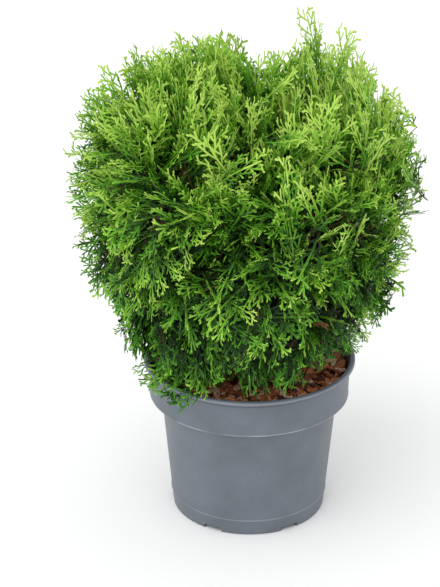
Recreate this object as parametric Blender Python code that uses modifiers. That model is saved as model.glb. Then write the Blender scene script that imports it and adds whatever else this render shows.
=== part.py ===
"""Tiny tim eastern arborvitae: a dwarf conifer in a grey nursery pot.

The pot is a turned shell filled by its root ball and a layer of bark mulch. One main stem with a
flared foot rises through the hollow middle of the crown. Each bough leaves it and ends at its own
mass of foliage. Four storeys of masses make the crown, and two leader shoots stand above it.

Metres, +Z up. The origin is the centre of the pot's underside, and the front faces -Y.
"""

import math

import bmesh
import bpy
from mathutils import Matrix, Vector, noise
from mathutils.bvhtree import BVHTree

# Clearance between pieces that touch
GAP = 0.0003
STEM_GAP = 0.0005

# Nursery pot
POT_HEIGHT = 0.1465
WALL = 0.0014
LIP_RADIUS = 0.0950
LIP_INNER_RADIUS = 0.0914
LIP_HEIGHT = 0.0034
LIP_ROUND = 0.0010
FOOT_ROUND = 0.0006
COLLAR_TOP_RADIUS = 0.0905
COLLAR_FOOT_RADIUS = 0.0896
COLLAR_FOOT_Z = 0.1105
BODY_TOP_RADIUS = 0.0795
BODY_FOOT_RADIUS = 0.0708
FOOT_LINE_Z = 0.0150
FOOT_STEP = 0.0006
BASE_RADIUS = 0.0693
SKIRT = 0.0020
BASE_RAISE = 0.0045
PLATE = 0.0020
PAD_RADIUS = 0.0300
PAD_SLOPE = 0.0040
POT_STEPS = 32

# Notches in the foot of the pot, with angles in degrees, and the drain holes in its raised base
NOTCH_COUNT = 6
NOTCH_HEIGHT = 0.0040
NOTCH_ANGLE = 14.5
NOTCH_TURN = -87.5
NOTCH_REACH = 0.0060
DRAIN_RADIUS = 0.0050
DRAIN_RING_RADIUS = 0.0500
DRAIN_SIDES = 8

# Root ball and mulch
SOIL_TOP = 0.1220
MULCH_TOP = 0.1335
MULCH_RELIEF = 0.0032
MULCH_GRAIN = 0.0110
MULCH_RINGS = 5

# Main stem: height, taper from its flat foot to its tip, lean and sway, and the ribbed root flare
STEM_HEIGHT = 0.2080
STEM_FOOT_RADIUS = 0.0080
STEM_TIP_RADIUS = 0.0024
STEM_TAPER_POWER = 0.85
STEM_RINGS = 12
STEM_RING_POWER = 1.5
STEM_SIDES_SETTING = 4
STEM_LEAN = Vector((-0.006, 0.004, 0.0))
STEM_SWAY = 0.0035
STEM_SWAY_TURN_X = 5.2
STEM_SWAY_TURN_Y = 4.1
FLARE_HEIGHT = 0.0200
FLARE = 0.55
FLARE_RIBS = 5
FLARE_RIB_SHARE = 0.35
FLARE_TURN = 0.8

# Crown outline: widest half-width, and how it closes above and below
CROWN_RADIUS = 0.1570
CROWN_WIDEST_Z = 0.3100
CROWN_TOP_LEFT = 0.4350
CROWN_TOP_RIGHT = 0.4280
CROWN_DIP = 0.0260
CROWN_DIP_X = 0.0080
CROWN_DIP_WIDTH = 0.0240
CROWN_FOOT_Z = 0.1390
CROWN_FOOT_LOSS = 0.0550
CROWN_FOOT_POWER = 1.5
CROWN_TOP_POWER = 2.7
CROWN_TOP_ROUND = 2.2
CROWN_RIGHT_LOSS = 0.068
CROWN_DEPTH_LOSS = 0.050
CROWN_SPAN_LIMIT = 0.5

# The underside of the crown clears the rim of the pot
RIM_CLEAR_RADIUS = 0.0700
RIM_CLEAR_SLOPE = 0.62

# Hollow middle of the crown, an upright ellipsoid
HOLLOW_RADIUS = 0.0460
HOLLOW_HALF_HEIGHT = 0.1050
HOLLOW_Z = 0.2350

# Masses of foliage: the gap between neighbours, how softly their limits blend, and their lumps
MASS_GAP = 0.0010
MASS_ROUNDING = 14.0
MASS_FACING_LEAST = 0.02
MASS_LUMP = 0.16
MASS_LUMP_INSIDE = 0.2
LUMP_SIZE = 0.026
LUMP_FINE = 2.7
LUMP_FINE_SHARE = 0.6
MASS_DETAIL = 3
RAY_STEP = 0.002
RAY_HALVINGS = 12

# Storeys of the crown: height and distance from the axis of the masses' middles, the height where
# the first bough leaves the stem and the step to the next one, and each mass's azimuth in degrees
# with 0 to the right and -90 to the front
STOREYS = {
    "lower": {
        "height": 0.182, "distance": 0.064, "leave": 0.148, "step": 0.005,
        "sides": {"front_right": -52, "back_right": 36, "back_left": 128, "front_left": -142},
    },
    "middle": {
        "height": 0.248, "distance": 0.087, "leave": 0.200, "step": 0.007,
        "sides": {"front": -92, "right_front": -18, "right_back": 52, "back": 124, "left": 196},
    },
    "upper": {
        "height": 0.322, "distance": 0.097, "leave": 0.268, "step": 0.006,
        "sides": {"front_right": -58, "right": 12, "back": 84, "left_back": 158, "left_front": 230},
    },
    "top": {
        "height": 0.389, "distance": 0.066, "leave": 0.302, "step": 0.006,
        "sides": {"front_right": -40, "back_right": 42, "back_left": 140, "front_left": -142},
    },
}
STOREY_STAGGER = 0.012

# Boughs
BOUGH_RADIUS = 0.0036
BOUGH_STEM_SHARE = 0.70
BOUGH_TIP_RADIUS = 0.0014
BOUGH_RINGS = 5
BOUGH_SIDES_SETTING = 1
BOUGH_BEND = 0.08
BOUGH_SLOPE_LEAST = 0.35

# Leader shoots: where each stands on the crown, where its tip is, half-width and half-thickness
LEADERS = {
    "leader_shoot_left": (0.058, 0.024, Vector((0.049, 0.024, 0.460)), 0.0075, 0.0026),
    "leader_shoot_right": (0.067, -0.014, Vector((0.0805, -0.015, 0.4535)), 0.0068, 0.0024),
}
LEADER_DETAIL = 2
LEADER_LOBE_COUNT = 4
LEADER_LOBE_DEPTH = 0.30
LEADER_FOOT_SHARE = 0.25
LEADER_NARROWING = 0.8

# Edges sharper than these angles in degrees stay crisp
CRISP_POT = 30.0
CRISP_STEM = 40.0
CRISP_MULCH = 50.0
CRISP_LIMB = 60.0
CRISP_MASS = 75.0

# Base colour, linear, and roughness of each material

COLOURS = {
    "pot": ("moulded_grey_plastic", (0.174, 0.202, 0.238, 1.0), 0.55),
    "soil": ("dark_peat", (0.028, 0.017, 0.010, 1.0), 0.95),
    "mulch": ("bark_mulch", (0.155, 0.042, 0.017, 1.0), 0.90),
    "bark": ("grey_brown_bark", (0.150, 0.098, 0.062, 1.0), 0.85),
    "leaf": ("scale_leaf_green", (0.088, 0.240, 0.030, 1.0), 0.60),
    "new_leaf": ("young_leaf_green", (0.230, 0.420, 0.055, 1.0), 0.55),
}


def clear_scene():
    for old in list(bpy.data.objects):
        bpy.data.objects.remove(old, do_unlink=True)


def make_material(kind):
    name, colour, roughness = COLOURS[kind]
    material = bpy.data.materials.get(name)
    if material is None:
        material = bpy.data.materials.new(name)
        material.use_nodes = True
        shader = material.node_tree.nodes["Principled BSDF"]
        shader.inputs["Base Color"].default_value = colour
        shader.inputs["Roughness"].default_value = roughness
        shader.inputs["Metallic"].default_value = 0.0
        material.diffuse_color = colour
    return material


def add_collection(name):
    collection = bpy.data.collections.new(name)
    bpy.context.scene.collection.children.link(collection)
    return collection


def add_object(name, mesh, collection, kind=None):
    piece = bpy.data.objects.new(name, mesh)
    collection.objects.link(piece)
    if kind:
        mesh.materials.clear()
        mesh.materials.append(make_material(kind))
    return piece


def mark_cutter(piece):
    piece.hide_render = True
    piece.display_type = "WIRE"


def baked_mesh(piece):
    """The evaluated shape of an object as a mesh with its doubled points welded."""
    graph = bpy.context.evaluated_depsgraph_get()
    mesh = bpy.data.meshes.new_from_object(piece.evaluated_get(graph))
    work = bmesh.new()
    work.from_mesh(mesh)
    bmesh.ops.remove_doubles(work, verts=work.verts, dist=1e-6)
    work.to_mesh(mesh)
    work.free()
    bpy.data.objects.remove(piece, do_unlink=True)
    return mesh


def smooth(mesh, angle):
    mesh.shade_smooth()
    mesh.set_sharp_from_angle(angle=math.radians(angle))


def turned_mesh(name, profile, steps, collection):
    """A profile of (radius, height) points turned once about the Z axis."""
    outline = bpy.data.meshes.new(name)
    points = [(radius, 0.0, height) for radius, height in profile]
    outline.from_pydata(points, [(i, i + 1) for i in range(len(points) - 1)], [])
    piece = add_object(name, outline, collection)
    screw = piece.modifiers.new("Turn", "SCREW")
    screw.axis = "Z"
    screw.steps = steps
    screw.render_steps = steps
    screw.use_merge_vertices = True
    screw.merge_threshold = 0.00005
    mesh = baked_mesh(piece)
    bpy.data.meshes.remove(outline)
    return mesh


def limb_mesh(name, path, radii, sides_setting, collection):
    """A tapering limb along a path, flat at both ends."""
    curve = bpy.data.curves.new(name, "CURVE")
    curve.dimensions = "3D"
    curve.bevel_depth = 1.0
    curve.bevel_resolution = sides_setting
    curve.use_fill_caps = True
    spline = curve.splines.new("POLY")
    spline.points.add(len(path) - 1)
    for point, place, radius in zip(spline.points, path, radii):
        point.co = (*place, 1.0)
        point.radius = radius
    piece = bpy.data.objects.new(name, curve)
    collection.objects.link(piece)
    mesh = baked_mesh(piece)
    bpy.data.curves.remove(curve)
    return mesh


def cut(piece, cutter):
    boolean = piece.modifiers.new("Cut", "BOOLEAN")
    boolean.operation = "DIFFERENCE"
    boolean.object = cutter


def inner_profile(offset):
    """The inside of the pot from the middle of its floor up to the collar, moved inwards."""
    floor = BASE_RAISE + PLATE + offset
    return [
        (0.0, PLATE + offset),
        (PAD_RADIUS - PAD_SLOPE * 0.5 - offset, PLATE + offset),
        (PAD_RADIUS + PAD_SLOPE * 0.5 - offset, floor),
        (BASE_RADIUS - SKIRT - offset, floor),
        (BODY_FOOT_RADIUS - WALL - offset, FOOT_LINE_Z),
        (BODY_TOP_RADIUS - WALL - offset, COLLAR_FOOT_Z + WALL + offset),
        (COLLAR_FOOT_RADIUS - WALL - offset, COLLAR_FOOT_Z + WALL + offset),
    ]


def outer_profile():
    """The lip of the pot, then its outer side and its underside, down to the middle."""
    lip_foot = POT_HEIGHT - LIP_HEIGHT
    return [
        (COLLAR_TOP_RADIUS - WALL, lip_foot - WALL),
        (LIP_INNER_RADIUS - LIP_ROUND, POT_HEIGHT - LIP_ROUND),
        (LIP_INNER_RADIUS, POT_HEIGHT),
        (LIP_RADIUS - LIP_ROUND, POT_HEIGHT),
        (LIP_RADIUS, POT_HEIGHT - LIP_ROUND),
        (LIP_RADIUS, lip_foot),
        (COLLAR_TOP_RADIUS, lip_foot),
        (COLLAR_FOOT_RADIUS, COLLAR_FOOT_Z + LIP_ROUND),
        (COLLAR_FOOT_RADIUS - LIP_ROUND, COLLAR_FOOT_Z),
        (BODY_TOP_RADIUS, COLLAR_FOOT_Z),
        (BODY_FOOT_RADIUS, FOOT_LINE_Z),
        (BODY_FOOT_RADIUS + FOOT_STEP, FOOT_LINE_Z - FOOT_STEP),
        (BASE_RADIUS, FOOT_ROUND),
        (BASE_RADIUS - FOOT_ROUND, 0.0),
        (BASE_RADIUS - SKIRT, 0.0),
        (BASE_RADIUS - SKIRT, BASE_RAISE),
        (PAD_RADIUS + PAD_SLOPE, BASE_RAISE),
        (PAD_RADIUS, 0.0),
        (0.0, 0.0),
    ]


def wedge_cutter(name, angle, width, near, far, bottom, top, collection):
    """A block between two radii and two azimuths, for a notch in the pot's foot."""
    mesh = bpy.data.meshes.new(name)
    work = bmesh.new()
    bmesh.ops.create_cube(work, size=1.0)
    for corner in work.verts:
        radius = far if corner.co.x > 0 else near
        turn = angle + (width * 0.5 if corner.co.y > 0 else -width * 0.5)
        height = top if corner.co.z > 0 else bottom
        corner.co = (radius * math.cos(turn), radius * math.sin(turn), height)
    work.to_mesh(mesh)
    work.free()
    piece = add_object(name, mesh, collection)
    mark_cutter(piece)
    return piece


def drain_cutter(name, angle, collection):
    mesh = bpy.data.meshes.new(name)
    work = bmesh.new()
    centre = Vector((math.cos(angle), math.sin(angle), 0.0)) * DRAIN_RING_RADIUS
    centre.z = BASE_RAISE + PLATE * 0.5
    bmesh.ops.create_cone(
        work, cap_ends=True, segments=DRAIN_SIDES, radius1=DRAIN_RADIUS, radius2=DRAIN_RADIUS,
        depth=PLATE * 4.0, matrix=Matrix.Translation(centre))
    work.to_mesh(mesh)
    work.free()
    piece = add_object(name, mesh, collection)
    mark_cutter(piece)
    return piece


def build_pot(parts, cutters):
    mesh = turned_mesh("nursery_pot", inner_profile(0.0) + outer_profile(), POT_STEPS, parts)
    smooth(mesh, CRISP_POT)
    pot = add_object("nursery_pot", mesh, parts, "pot")
    pitch = 2.0 * math.pi / NOTCH_COUNT
    width = math.radians(NOTCH_ANGLE)
    for i in range(NOTCH_COUNT):
        angle = math.radians(NOTCH_TURN) + (i + 0.5) * pitch
        notch = wedge_cutter(
            f"notch_{i + 1}", angle, width, BASE_RADIUS - NOTCH_REACH, BASE_RADIUS + NOTCH_REACH,
            -NOTCH_HEIGHT, NOTCH_HEIGHT, cutters)
        cut(pot, notch)
        cut(pot, drain_cutter(f"drain_{i + 1}", angle + pitch * 0.5, cutters))
    return pot


def build_root_ball(parts):
    profile = inner_profile(GAP)
    profile.append((profile[-1][0], SOIL_TOP))
    profile.append((0.0, SOIL_TOP))
    profile.reverse()
    mesh = turned_mesh("root_ball", profile, POT_STEPS, parts)
    smooth(mesh, CRISP_POT)
    return add_object("root_ball", mesh, parts, "soil")


def build_mulch(parts, stem_cutter):
    """A layer of chips: an uneven top on a flat underside, cut round the stem's foot."""
    edge = COLLAR_FOOT_RADIUS - WALL - GAP
    rings = [edge * (i / MULCH_RINGS) for i in range(MULCH_RINGS + 1)]
    profile = [(radius, MULCH_TOP) for radius in rings]
    profile += [(edge, SOIL_TOP + GAP), (0.0, SOIL_TOP + GAP)]
    mesh = turned_mesh("bark_mulch", profile, POT_STEPS, parts)
    for point in mesh.vertices:
        if point.co.z > MULCH_TOP - GAP:
            place = Vector((point.co.x, point.co.y, 0.0)) / MULCH_GRAIN
            point.co.z += MULCH_RELIEF * noise.noise(place)
    smooth(mesh, CRISP_MULCH)
    mulch = add_object("bark_mulch", mesh, parts, "mulch")
    cut(mulch, stem_cutter)
    return mulch


def stem_point(share):
    """A place on the stem's axis, from its foot at 0 to its tip at 1, upright at the foot."""
    place = STEM_LEAN * share ** 2
    place.x += STEM_SWAY * (1.0 - math.cos(share * STEM_SWAY_TURN_X))
    place.y -= STEM_SWAY * (1.0 - math.cos(share * STEM_SWAY_TURN_Y))
    place.z = SOIL_TOP + GAP + STEM_HEIGHT * share
    return place


def stem_radius(share):
    return STEM_FOOT_RADIUS + (STEM_TIP_RADIUS - STEM_FOOT_RADIUS) * share ** STEM_TAPER_POWER


def stem_share(height):
    return (height - SOIL_TOP - GAP) / STEM_HEIGHT


def stem_mesh(name, margin, parts):
    """The stem as a mesh, with ribs that flare out at its foot."""
    shares = [(i / STEM_RINGS) ** STEM_RING_POWER for i in range(STEM_RINGS + 1)]
    path = [stem_point(share) for share in shares]
    radii = [stem_radius(share) + margin for share in shares]
    if margin:
        path[0] = path[0] - Vector((0.0, 0.0, margin))
        path[-1] = path[-1] + Vector((0.0, 0.0, margin))
    mesh = limb_mesh(name, path, radii, STEM_SIDES_SETTING, parts)
    for point in mesh.vertices:
        rise = point.co.z - SOIL_TOP
        fade = max(0.0, 1.0 - rise / FLARE_HEIGHT) ** 2
        axis = stem_point(max(0.0, stem_share(point.co.z)))
        turn = math.atan2(point.co.y - axis.y, point.co.x - axis.x)
        rib = 1.0 - FLARE_RIB_SHARE * (1.0 - math.cos(FLARE_RIBS * turn + FLARE_TURN))
        grow = 1.0 + FLARE * fade * rib
        point.co.x = axis.x + (point.co.x - axis.x) * grow
        point.co.y = axis.y + (point.co.y - axis.y) * grow
    smooth(mesh, CRISP_STEM)
    return mesh


def crown_top(x):
    """Height of the crown's top: two lobes with a dip between them."""
    lobe = CROWN_TOP_LEFT if x < CROWN_DIP_X else CROWN_TOP_RIGHT
    return lobe - CROWN_DIP * math.exp(-((x - CROWN_DIP_X) / CROWN_DIP_WIDTH) ** 2)


def crown_reach(place):
    """Half-width of the crown at a place's height, on the side where the place lies."""
    distance = math.hypot(place.x, place.y)
    side = place.x / distance if distance > 1e-9 else 0.0
    top = crown_top(place.x)
    if place.z >= top or place.z <= CROWN_FOOT_Z:
        return 0.0
    if place.z > CROWN_WIDEST_Z:
        climb = (place.z - CROWN_WIDEST_Z) / (top - CROWN_WIDEST_Z)
        reach = CROWN_RADIUS * (1.0 - climb ** CROWN_TOP_POWER) ** (1.0 / CROWN_TOP_ROUND)
    else:
        drop = (CROWN_WIDEST_Z - place.z) / (CROWN_WIDEST_Z - CROWN_FOOT_Z)
        reach = CROWN_RADIUS - CROWN_FOOT_LOSS * drop ** CROWN_FOOT_POWER
    loss = CROWN_RIGHT_LOSS * max(0.0, side) + CROWN_DEPTH_LOSS * (1.0 - side * side)
    return reach * (1.0 - loss)


def in_crown(place):
    distance = math.hypot(place.x, place.y)
    if distance > crown_reach(place):
        return False
    return place.z > CROWN_FOOT_Z + RIM_CLEAR_SLOPE * max(0.0, distance - RIM_CLEAR_RADIUS)


def in_hollow(place):
    flat = (place.x ** 2 + place.y ** 2) / HOLLOW_RADIUS ** 2
    return flat + ((place.z - HOLLOW_Z) / HOLLOW_HALF_HEIGHT) ** 2 < 1.0


def ray_exit(start, direction, stays_inside):
    """How far a ray runs before it leaves the space where the test holds."""
    length = 0.0
    while stays_inside(start + direction * (length + RAY_STEP)) and length < CROWN_SPAN_LIMIT:
        length += RAY_STEP
    low, high = length, length + RAY_STEP
    for _ in range(RAY_HALVINGS):
        middle = (low + high) * 0.5
        if stays_inside(start + direction * middle):
            low = middle
        else:
            high = middle
    return low


def mass_middles():
    """The middle of each mass of foliage, by the mass's name."""
    middles = {}
    for storey, rule in STOREYS.items():
        for i, (side, azimuth) in enumerate(rule["sides"].items()):
            turn = math.radians(azimuth)
            lift = STOREY_STAGGER * (0.5 if i % 2 else -0.5)
            flat = Vector((math.cos(turn), math.sin(turn), 0.0)) * rule["distance"]
            middles[f"{storey}_{side}"] = flat + Vector((0.0, 0.0, rule["height"] + lift))
    return middles


def mass_mesh(name, middle, others):
    """One uneven mass: from its middle it grows until the crown's outline, the hollow or a
    neighbour stops it, and its surface rises and falls in lumps."""
    mesh = bpy.data.meshes.new(name)
    work = bmesh.new()
    bmesh.ops.create_icosphere(work, subdivisions=MASS_DETAIL, radius=1.0)
    outward = (middle - Vector((0.0, 0.0, HOLLOW_Z))).normalized()
    for point in work.verts:
        direction = point.co.normalized()
        limits = [
            ray_exit(middle, direction, in_crown),
            ray_exit(middle, direction, lambda place: not in_hollow(place)),
        ]
        for other in others:
            between = other - middle
            toward = direction.dot(between.normalized())
            if toward > MASS_FACING_LEAST:
                limits.append((between.length * 0.5 - MASS_GAP * 0.5) / toward)
        length = sum(limit ** -MASS_ROUNDING for limit in limits) ** (-1.0 / MASS_ROUNDING)
        surface = middle + direction * length
        lump = noise.noise(surface / LUMP_SIZE)
        lump += LUMP_FINE_SHARE * noise.noise(surface / LUMP_SIZE * LUMP_FINE)
        facing = max(MASS_LUMP_INSIDE, direction.dot(outward))
        length *= 1.0 - MASS_LUMP * facing * min(1.0, max(0.0, 0.5 + lump))
        point.co = middle + direction * length
    work.to_mesh(mesh)
    work.free()
    smooth(mesh, CRISP_MASS)
    return mesh


def build_masses(parts):
    middles = mass_middles()
    masses = {}
    for name, middle in middles.items():
        others = [other for key, other in middles.items() if key != name]
        mesh = mass_mesh(f"foliage_{name}", middle, others)
        masses[name] = add_object(f"foliage_{name}", mesh, parts, "leaf")
    return middles, masses


def surface_tree(piece):
    work = bmesh.new()
    work.from_mesh(piece.data)
    tree = BVHTree.FromBMesh(work)
    work.free()
    return tree


def curve_between(start, bend, end, count):
    """Places along a smooth bend from start to end."""
    places = []
    for i in range(count + 1):
        share = i / count
        rest = 1.0 - share
        places.append(start * rest * rest + bend * 2.0 * share * rest + end * share * share)
    return places


def build_bough(name, leave_height, middle, mass, stem_cutter, parts):
    """A limb that leaves the stem, bends upwards and ends where it meets its mass."""
    start = stem_point(stem_share(leave_height))
    tree = surface_tree(mass)
    entry = tree.ray_cast(start, (middle - start).normalized())[0]
    chord = entry - start
    outward = Vector((chord.x, chord.y, 0.0)).normalized()
    bend = start + chord * 0.5 + (outward - Vector((0.0, 0.0, 1.0))) * chord.length * BOUGH_BEND
    aim = (middle - bend).normalized()
    hit, normal, _, _ = tree.ray_cast(bend, aim)
    slope = max(BOUGH_SLOPE_LEAST, abs(normal.dot(aim)))
    back = GAP + BOUGH_TIP_RADIUS * math.sqrt(1.0 - slope * slope) / slope
    end = hit - aim * back
    path = curve_between(start, bend, end, BOUGH_RINGS)
    thick = min(BOUGH_RADIUS, BOUGH_STEM_SHARE * stem_radius(stem_share(leave_height)))
    radii = [thick + (BOUGH_TIP_RADIUS - thick) * (i / BOUGH_RINGS) for i in range(BOUGH_RINGS + 1)]
    mesh = limb_mesh(name, path, radii, BOUGH_SIDES_SETTING, parts)
    smooth(mesh, CRISP_LIMB)
    bough = add_object(name, mesh, parts, "bark")
    cut(bough, stem_cutter)
    return bough


def build_leader(name, place, masses, parts):
    """A flat shoot that stands on the crown: narrow at its foot, lobed, pointed at its tip."""
    x, y, tip, half_width, half_thickness = place
    above = Vector((x, y, tip.z))
    down = Vector((0.0, 0.0, -1.0))
    hits = [surface_tree(mass).ray_cast(above, down)[0] for mass in masses.values()]
    foot = max((hit for hit in hits if hit), key=lambda hit: hit.z) - down * GAP
    upward = tip - foot
    frame = upward.to_track_quat("Z", "Y").to_matrix()
    mesh = bpy.data.meshes.new(name)
    work = bmesh.new()
    bmesh.ops.create_icosphere(work, subdivisions=LEADER_DETAIL, radius=1.0)
    for point in work.verts:
        along = 0.5 + 0.5 * point.co.z
        turn = 2.0 * math.pi * LEADER_LOBE_COUNT * along + (0.0 if point.co.x > 0 else math.pi)
        lobe = 1.0 - LEADER_LOBE_DEPTH * (0.5 + 0.5 * math.sin(turn))
        swell = max(0.0, math.sin(math.pi * along)) ** LEADER_NARROWING
        narrow = LEADER_FOOT_SHARE + (1.0 - LEADER_FOOT_SHARE) * swell
        local = Vector((
            point.co.x * half_width * lobe * narrow,
            point.co.y * half_thickness,
            along * upward.length))
        point.co = foot + frame @ local
    work.to_mesh(mesh)
    work.free()
    smooth(mesh, CRISP_LIMB)
    return add_object(name, mesh, parts, "new_leaf")


def main():
    clear_scene()
    parts = add_collection("tiny_tim_eastern_arborvitae")
    cutters = add_collection("cutters")
    clearance = stem_mesh("stem_clearance", STEM_GAP, cutters)
    stem_cutter = add_object("stem_clearance", clearance, cutters)
    mark_cutter(stem_cutter)
    build_pot(parts, cutters)
    build_root_ball(parts)
    build_mulch(parts, stem_cutter)
    add_object("main_stem", stem_mesh("main_stem", 0.0, parts), parts, "bark")
    middles, masses = build_masses(parts)
    for storey, rule in STOREYS.items():
        for i, side in enumerate(rule["sides"]):
            name = f"{storey}_{side}"
            height = rule["leave"] + rule["step"] * i
            build_bough(f"bough_{name}", height, middles[name], masses[name], stem_cutter, parts)
    for name, place in LEADERS.items():
        build_leader(name, place, masses, parts)


main()
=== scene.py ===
# %% [markdown]
# # A tiny tim eastern arborvitae in a nursery pot
#
# This dwarf conifer is a ball of flat, fern-like sprays of scale leaves on a short stem. The frame
# holds its solids: the pot, the root ball, the mulch, the stem, one bough for each mass of foliage,
# and the masses. This script grows the fine plant inside those solids, so that the sizes stay the
# frame's, and it gives each surface its finish. One seeded source of chance deals out all that
# varies, so each run grows the same plant.

# %% Load the frame
import math

import bmesh
import bpy
import numpy as np
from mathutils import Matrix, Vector, noise
from mathutils.bvhtree import BVHTree


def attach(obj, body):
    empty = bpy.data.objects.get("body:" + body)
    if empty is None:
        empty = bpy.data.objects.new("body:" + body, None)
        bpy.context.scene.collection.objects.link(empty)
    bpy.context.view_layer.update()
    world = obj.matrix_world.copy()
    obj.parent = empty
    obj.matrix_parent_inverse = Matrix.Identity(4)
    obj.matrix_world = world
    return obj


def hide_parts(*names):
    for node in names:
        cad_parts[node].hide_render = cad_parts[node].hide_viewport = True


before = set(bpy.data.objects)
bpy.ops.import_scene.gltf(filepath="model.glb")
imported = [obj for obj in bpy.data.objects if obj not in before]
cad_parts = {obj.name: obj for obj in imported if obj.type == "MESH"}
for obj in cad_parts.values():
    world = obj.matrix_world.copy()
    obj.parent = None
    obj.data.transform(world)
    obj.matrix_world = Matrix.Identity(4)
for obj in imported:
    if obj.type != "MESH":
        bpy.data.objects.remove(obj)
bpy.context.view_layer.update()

BODY = "root"
MM = 0.001
SEED = 46
dice = np.random.default_rng(SEED)
print("frame loaded:", len(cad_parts), "nodes")

# %% [markdown]
# ## Small helpers
#
# A colour is written the way a paint chart writes it, as sRGB hex, and turned to the linear values
# that a shader mixes. One function adds a node with its settings and its links.

# %% Helpers for colours and nodes
def linear(code):
    """An sRGB hex colour as linear red, green, blue and alpha."""
    channels = [int(code[i:i + 2], 16) / 255.0 for i in (1, 3, 5)]
    mixed = [c / 12.92 if c <= 0.04045 else ((c + 0.055) / 1.055) ** 2.4 for c in channels]
    return (*mixed, 1.0)


def scale_for(size_mm):
    """The scale of a texture node that makes its features about this size."""
    return 1.0 / (size_mm * MM)


def add_node(material, kind, inputs, **settings):
    """A node with its settings; an input takes a plain value or the socket that feeds it."""
    node = material.node_tree.nodes.new(kind)
    for key, value in settings.items():
        setattr(node, key, value)
    for key, value in inputs.items():
        if isinstance(value, bpy.types.NodeSocket):
            material.node_tree.links.new(value, node.inputs[key])
        else:
            node.inputs[key].default_value = value
    return node


def new_material(name, colour, roughness, ior):
    """A material whose shader has a plain colour, until a pattern is linked to it."""
    material = bpy.data.materials.new(name)
    material.use_nodes = True
    shader = material.node_tree.nodes["Principled BSDF"]
    shader.inputs["Base Color"].default_value = linear(colour)
    shader.inputs["Roughness"].default_value = roughness
    shader.inputs["IOR"].default_value = ior
    shader.inputs["Metallic"].default_value = 0.0
    return material, shader


print("mid grey in linear values", round(linear("#808080")[0], 3))

# %% [markdown]
# Leaves and twigs are far too many to model by hand, so their meshes are made from arrays of points
# and triangles. Many small shapes become one mesh when the point numbers of each are moved up by the
# points that are there already.

# %% Helpers for meshes
def link_object(name, data):
    """An object in the scene that shows this mesh, camera or light."""
    piece = bpy.data.objects.new(name, data)
    bpy.context.scene.collection.objects.link(piece)
    return piece


def array_mesh(name, points, triangles, kinds, materials, smooth):
    """A mesh object from arrays: points, triangles and the material number of each triangle."""
    mesh = bpy.data.meshes.new(name)
    mesh.vertices.add(len(points))
    mesh.vertices.foreach_set("co", np.asarray(points, np.float32).ravel())
    mesh.loops.add(len(triangles) * 3)
    mesh.loops.foreach_set("vertex_index", np.asarray(triangles, np.int32).ravel())
    mesh.polygons.add(len(triangles))
    mesh.polygons.foreach_set("loop_start", np.arange(0, len(triangles) * 3, 3, dtype=np.int32))
    for material in materials:
        mesh.materials.append(material)
    mesh.polygons.foreach_set("material_index", np.asarray(kinds, np.int32))
    mesh.polygons.foreach_set("use_smooth", np.full(len(triangles), smooth))
    mesh.update(calc_edges=True)
    mesh.validate()
    return link_object(name, mesh)


def join(parts):
    """Several (points, triangles) pairs as one."""
    points, triangles, total = [], [], 0
    for some_points, some_triangles in parts:
        points.append(some_points)
        triangles.append(some_triangles + total)
        total += len(some_points)
    return np.concatenate(points), np.concatenate(triangles)


def unit(rows):
    """Rows of vectors, each one unit long."""
    rows = np.asarray(rows, float)
    return rows / np.maximum(np.linalg.norm(rows, axis=-1, keepdims=True), 1e-9)


print("a slanted vector made one unit long", np.round(unit([3.0, 0.0, 4.0]), 2))

# %% [markdown]
# ## Camera
#
# The picture looks down on the plant from about 25 degrees, from well back with a long lens, so the
# pot's rim is a flat ellipse and its sides hardly converge. The lens is worked out from the pot:
# its rim, its foot and its height fix the distance and the angle.

# %% Place the camera
IMAGE_WIDTH = 440
IMAGE_HEIGHT = 587
FOCAL_PIXELS = 1984.7
SENSOR_MM = 36.0
CAMERA_PLACE = Vector((0.0, -1.60, 0.938))
CAMERA_YAW = -0.0165
CAMERA_PITCH = 0.4289

camera_data = bpy.data.cameras.new("camera")
camera_data.sensor_fit = "HORIZONTAL"
camera_data.sensor_width = SENSOR_MM
camera_data.lens = SENSOR_MM * FOCAL_PIXELS / IMAGE_WIDTH
camera = link_object("camera", camera_data)
bpy.context.scene.camera = camera
camera_look = Vector((
    math.sin(CAMERA_YAW) * math.cos(CAMERA_PITCH),
    math.cos(CAMERA_YAW) * math.cos(CAMERA_PITCH),
    -math.sin(CAMERA_PITCH)))
camera_turn = camera_look.to_track_quat("-Z", "Y")
camera.location = CAMERA_PLACE
camera.rotation_euler = camera_turn.to_euler()


def pixel_ray(pixel):
    """The direction in which a pixel of the picture looks."""
    across = (pixel[0] - IMAGE_WIDTH / 2) / FOCAL_PIXELS
    down = (pixel[1] - IMAGE_HEIGHT / 2) / FOCAL_PIXELS
    return (camera_turn.to_matrix() @ Vector((across, -down, -1.0))).normalized()


def pixel_at_depth(pixel, y):
    """The place where a pixel's ray meets the upright plane at this y."""
    ray = pixel_ray(pixel)
    return CAMERA_PLACE + ray * ((y - CAMERA_PLACE.y) / ray.y)


print("camera lens", round(camera_data.lens, 1), "mm")

# %% [markdown]
# ## Floor and light
#
# The plant stands on a plain white sheet. A pale sky lights it from all around, and a very wide sun
# from the front left works like a big softbox: it gives the sprays a lit side without a hard shadow.

# %% Floor
FLOOR_SIDE = 16.0
FLOOR_GAP = 0.2 * MM
PAPER_FIBRE_MM = 4.0

floor_material, floor_shader = new_material("white_paper", "#FAFAF9", 0.85, 1.5)
floor_place = add_node(floor_material, "ShaderNodeTexCoord", {})
floor_fibre = add_node(floor_material, "ShaderNodeTexNoise", {
    "Vector": floor_place.outputs["Object"], "Scale": scale_for(PAPER_FIBRE_MM),
    "Detail": 3.0})
floor_bump = add_node(floor_material, "ShaderNodeBump", {
    "Height": floor_fibre.outputs["Fac"], "Strength": 0.03, "Distance": 0.2 * MM})
floor_material.node_tree.links.new(floor_bump.outputs["Normal"], floor_shader.inputs["Normal"])

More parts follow.
